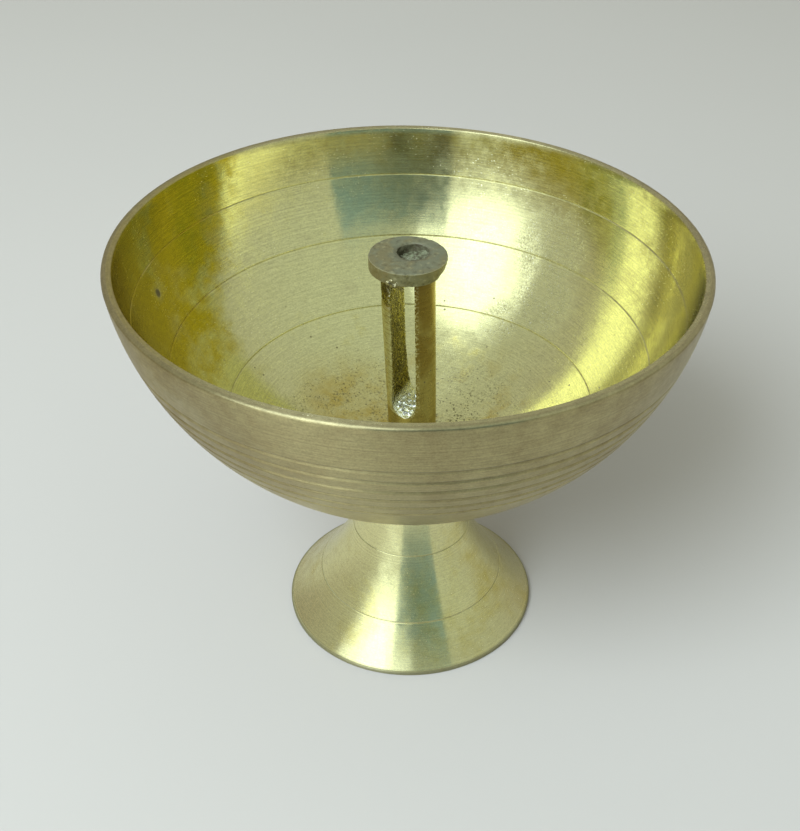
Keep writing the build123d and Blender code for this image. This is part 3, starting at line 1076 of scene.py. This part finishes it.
def braze_metal(colours):
    """Grey, lumpy braze with dark flux, duller beside the disc than on the leg."""
    finish = Finish("braze_metal")
    lump = finish.cloud(1500.0, 4.0, 0.6)
    flux = finish.cloud(900.0, 5.0, 0.65).spread(0.5, 0.68)
    low = finish.z.spread(DISC_LOW.z + 0.1 * MM, DISC_LOW.z - 0.5 * MM)
    tone = finish.coats(colours.braze, (lump.spread(0.4, 0.7), colours.grey_tarnish), (flux, colours.grime))
    rough = lump.spread(0.3, 0.7, 0.42, 0.6) - low * 0.26
    return finish.surface(tone, rough, finish.bumps((lump, 0.08, 0.6)), 0.95 - flux * 0.7)


def run_metal(colours):
    """Bright, silvery metal that has run into the saddle, with dirt in its hollows."""
    finish = Finish("run_metal")
    lump = finish.cloud(1000.0, 3.0, 0.55)
    dirt = finish.cloud(1100.0, 4.0, 0.65).spread(0.6, 0.72, 0.0, 0.75)
    tone = finish.coats((0.97, 1.0, 0.95), (lump.spread(0.5, 0.75), colours.clean_brass), (dirt, colours.crumbs))
    rough = lump.spread(0.3, 0.7, 0.22, 0.42)
    return finish.surface(tone, rough, finish.bumps((lump, 0.1, 0.5)), 1.0 - dirt * 0.6)


def burnt_crust(colours):
    """Crumbly burnt crust, grey-green with black hollows."""
    finish = Finish("burnt_crust")
    crumb = finish.cloud(1700.0, 5.0, 0.65)
    ash = finish.cloud(700.0, 4.0, 0.6).spread(0.48, 0.66)
    tone = finish.coats(colours.grime, (crumb.spread(0.35, 0.65), colours.crust), (ash * 0.4, (0.30, 0.31, 0.20)))
    return finish.surface(tone, crumb.spread(0.3, 0.7, 0.5, 0.8), finish.bumps((crumb, 0.22, 0.9)))


def washer_leather(colours):
    """Oiled leather with pores and a darker, butter-soaked edge."""
    finish = Finish("washer_leather")
    pores = finish.node("TexVoronoi", {"Vector": finish.place, "Scale": 2200.0}, "Distance")
    fibre = finish.cloud(1200.0, 5.0, 0.65)
    soaked = finish.mark("groove") * 1.2
    tone = finish.coats(colours.leather, (fibre.spread(0.35, 0.7), (0.21, 0.12, 0.055)), (soaked, colours.grime))
    rough = fibre.spread(0.3, 0.7, 0.42, 0.7)
    return finish.surface(tone, rough, finish.bumps((pores, 0.06, 0.6), (fibre, 0.05, 0.5)))


def matt_paint(name, scale, detail, first, second, rough, shine=0.5):
    """Matt paint with a barely uneven tone."""
    finish = Finish(name)
    finish.set("Specular IOR Level", shine)
    return finish.surface(finish.coats(first, (finish.cloud(scale, detail, 0.5).spread(0.3, 0.7), second)), rough)


# Operators

BOWL_SIDES, FOOT_SIDES, STUD_SIDES, WASHER_SIDES = 320, 192, 64, 128


class LampOperator:
    """What the lamp's operators share."""

    bl_options = {"REGISTER", "UNDO"}

    def execute(self, context):
        lamp = context.scene.butter_lamp
        for thing, finish, body, slot, *nodes in self.pieces(lamp):
            thing.data.materials.clear()
            thing.data.materials.append(finish(lamp.colours))
            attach(thing, body)
            if nodes:
                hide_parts(*nodes)
        return {"FINISHED"}


class LAMP_OT_turn_bowl(LampOperator, bpy.types.Operator):
    """Turn the bowl with its lip, ring grooves and scored circles"""

    bl_idname = "lamp.turn_bowl"
    bl_label = "Turn Bowl"

    def pieces(self, lamp):
        bowl = turned("bowl_turned", BOWL_SIDES, SHARP, bowl_outline, lamp.bowl, lamp.foot.neck_radius)
        yield bowl, bowl_brass, "lamp_base", "bowl_brass", "bowl"


class LAMP_OT_turn_foot(LampOperator, bpy.types.Operator):
    """Turn the hollow foot with its scored flare and tapped crown"""

    bl_idname = "lamp.turn_foot"
    bl_label = "Turn Foot"

    def pieces(self, lamp):
        sizes = (lamp.foot, lamp.holder, FOOT_HIGH.z, STUD_LOW.z)
        foot = turned("foot_turned", FOOT_SIDES, SHARP, foot_outline, *sizes)
        yield foot, foot_brass, "lamp_base", "foot_brass", "foot"


class LAMP_OT_cut_stud(LampOperator, bpy.types.Operator):
    """Cut the threaded stud that joins the foot and the wick holder"""

    bl_idname = "lamp.cut_stud"
    bl_label = "Cut Stud"

    def pieces(self, lamp):
        sizes = (lamp.holder, STUD_LOW.z, STUD_HIGH.z)
        stud = turned("stud_threaded", STUD_SIDES, THREAD_SHARP, stud_outline, *sizes)
        yield stud, stud_brass, "lamp_base", "stud_brass", "stud"


class LAMP_OT_stamp_washer(LampOperator, bpy.types.Operator):
    """Stamp the leather washer that seals the bowl's floor"""

    bl_idname = "lamp.stamp_washer"
    bl_label = "Stamp Washer"

    def pieces(self, lamp):
        washer = turned("seal_washer_leather", WASHER_SIDES, LEATHER_SHARP, washer_outline, lamp.holder)
        yield washer, washer_leather, "seal", "washer_leather", "seal_washer"


class LAMP_OT_slot_post(LampOperator, bpy.types.Operator):
    """Make the wick post with its two legs, rough slot and the metal run into its saddle"""

    bl_idname = "lamp.slot_post"
    bl_label = "Slot Wick Post"

    def pieces(self, lamp):
        post = slotted_post("wick_post_slotted", lamp.holder, POST_LOW.z, POST_HIGH.z)
        yield post, post_brass, "wick_holder", "post_brass", "wick_post"
        lumps = flowed_lumps("saddle_lumps", saddle_places(lamp.holder))
        yield lumps, run_metal, "wick_holder", "post_brass"


class LAMP_OT_cap_post(LampOperator, bpy.types.Operator):
    """Cap the legs with the scorched disc, its lumps of braze and the crust in its hole"""

    bl_idname = "lamp.cap_post"
    bl_label = "Cap Wick Post"

    def pieces(self, lamp):
        disc = wick_disc("wick_disc_scorched", lamp.holder)
        yield disc, disc_brass, "wick_holder", "disc_brass", "wick_disc"
        yield flowed_lumps("braze_lumps", braze_places()), braze_metal, "wick_holder", "disc_brass"
        yield crust_plug("hole_crust", lamp.holder), burnt_crust, "wick_holder", "disc_brass"


CAMERA_PLACE = (0.0, -192.70 * MM, 182.91 * MM)
CAMERA_PAN, CAMERA_TILT, CAMERA_ROLL = 0.0823, 0.6279, 0.0543
CAMERA_LENS, CAMERA_SHIFT = 57.13, -0.1203

# Azimuth, elevation and distance of the window, what it is turned to, and each lamp's width and share of the power
WINDOW_PLACE = (218, 44, 0.85)
WINDOW_TARGET = Vector((0.0, 0.0, 45.0 * MM))
WINDOW_LAYERS = ((0.90, 0.20), (0.66, 0.30), (0.50, 0.50))
WINDOW_COLOUR = (0.78, 0.91, 1.0)

# Brightest direction of the surroundings, and their two colours
SKY_SIDE = (160, 55)
SKY_COLOURS = ((0.41, 0.395, 0.345), (0.585, 0.655, 0.59))

FLOOR_SIZE = 2.0
CARD_RADIUS, CARD_HEIGHT = 0.45, 0.36
CARD_SIDE, CARD_SPREAD = math.radians(170), math.radians(27)
CARD_COLOURS = ((0.25, 0.38, 0.47), (0.29, 0.43, 0.53))


def set_camera():
    """Camera in front of the lamp, looking down into the bowl."""
    data = bpy.data.cameras.new("camera")
    data.lens = CAMERA_LENS
    data.shift_x = CAMERA_SHIFT
    data.clip_start = 1.0 * MM
    camera = placed("camera", data)
    pan = Matrix.Rotation(-CAMERA_PAN, 4, "Z")
    tilt = Matrix.Rotation(QUARTER_TURN - CAMERA_TILT, 4, "X")
    roll = Matrix.Rotation(CAMERA_ROLL, 4, "Z")
    camera.matrix_world = Matrix.Translation(CAMERA_PLACE) @ pan @ tilt @ roll
    bpy.context.scene.camera = camera


def aim(azimuth, elevation):
    """Direction from the lamp, with the azimuth from the back towards the right."""
    turn, lift = math.radians(azimuth), math.radians(elevation)
    return Vector((math.sin(turn) * math.cos(lift), math.cos(turn) * math.cos(lift), math.sin(lift)))


def set_window(power):
    """Round soft lamps of three widths, one in front of the other."""
    azimuth, elevation, distance = WINDOW_PLACE
    place = aim(azimuth, elevation) * distance + Vector((0.0, 0.0, 50.0 * MM))
    for number, (width, share) in enumerate(WINDOW_LAYERS):
        data = bpy.data.lights.new(f"window_{number}", "AREA")
        data.shape = "DISK"
        data.size = width
        data.energy = share * power
        data.color = WINDOW_COLOUR
        lamp = placed(f"window_{number}", data)
        lamp.location = place
        lamp.rotation_euler = (WINDOW_TARGET - place).to_track_quat("-Z", "Y").to_euler()


def curved_sheet(name, radius, height, middle, spread):
    """Upright curved sheet round the lamp's axis, from the floor up."""
    work = bmesh.new()
    turns = steps(middle - spread, middle + spread, math.radians(4))
    low, high = (
        [work.verts.new((radius * math.sin(turn), radius * math.cos(turn), z)) for turn in turns]
        for z in (0.0, height)
    )
    for corners in zip(low, low[1:], high[1:], high):
        work.faces.new(corners)
    return written(name, work)


def set_world():
    """Even pale surroundings, a little brighter and cooler in front and overhead."""
    world = bpy.data.worlds.new("studio")
    bpy.context.scene.world = world
    sky = Nodes(world, "Background", "Generated")
    towards = sky.node("VectorMath", {0: sky.place, 1: aim(*SKY_SIDE)}, "Value", operation="DOT_PRODUCT")
    rise = sky.node("MapRange", {"Value": towards, "From Min": -0.3, "From Max": 0.95})
    sky.set("Color", sky.blend(rise, *SKY_COLOURS))


class LAMP_OT_set_stage(bpy.types.Operator):
    """Set the pale floor, the soft lamps and the camera"""

    bl_idname = "lamp.set_stage"
    bl_label = "Set Stage"
    bl_options = {"REGISTER", "UNDO"}

    def execute(self, context):
        settings = context.scene.butter_lamp.stage
        work = bmesh.new()
        bmesh.ops.create_grid(work, x_segments=8, y_segments=8, size=FLOOR_SIZE)
        floor = written("floor", work)
        pale = tuple(settings.floor_colour)
        darker = tuple(0.97 * part for part in pale)
        floor.data.materials.append(matt_paint("pale_floor", 3.0, 3.0, pale, darker, 0.75, 0.2))
        card = curved_sheet("grey_card", CARD_RADIUS, CARD_HEIGHT, CARD_SIDE, CARD_SPREAD)
        card.data.materials.append(matt_paint("grey_card", 6.0, 2.0, *CARD_COLOURS, 0.9))
        card.visible_camera = False
        set_window(settings.window_power)
        set_world()
        set_camera()
        context.scene.view_settings.view_transform = "Standard"
        return {"FINISHED"}


class LAMP_PT_panel(bpy.types.Panel):
    """Lists the lamp's steps and sizes"""

    bl_idname = "LAMP_PT_panel"
    bl_label = "Butter Lamp"
    bl_space_type = "VIEW_3D"
    bl_region_type = "UI"
    bl_category = "Butter Lamp"

    def draw(self, context):
        settings = context.scene.butter_lamp
        for step in STEPS:
            self.layout.operator(step.bl_idname)
        for part in (settings.bowl, settings.foot, settings.holder, settings.colours, settings.stage):
            box = self.layout.box()
            for key in part.bl_rna.properties.keys():
                if key not in ("rna_type", "name"):
                    box.prop(part, key)


STEPS = (
    LAMP_OT_turn_bowl,
    LAMP_OT_turn_foot,
    LAMP_OT_cut_stud,
    LAMP_OT_stamp_washer,
    LAMP_OT_slot_post,
    LAMP_OT_cap_post,
    LAMP_OT_set_stage,
)
CLASSES = (
    LampBowlSizes,
    LampFootSizes,
    LampHolderSizes,
    LampColours,
    LampStageSettings,
    LampSettings,
    *STEPS,
    LAMP_PT_panel,
)


def register():
    """Adds the lamp's classes and its settings on the scene."""
    for item in CLASSES:
        bpy.utils.register_class(item)
    bpy.types.Scene.butter_lamp = group(LampSettings, "Butter Lamp", "Sizes, colours and stage of the butter lamp")


def unregister():
    """Takes the lamp's settings and classes away."""
    del bpy.types.Scene.butter_lamp
    for item in reversed(CLASSES):
        bpy.utils.unregister_class(item)


def main():
    """Makes every piece and the stage."""
    register()
    for step in STEPS:
        group, call = step.bl_idname.split(".")
        getattr(getattr(bpy.ops, group), call)()


if __name__ == "__main__":
    main()
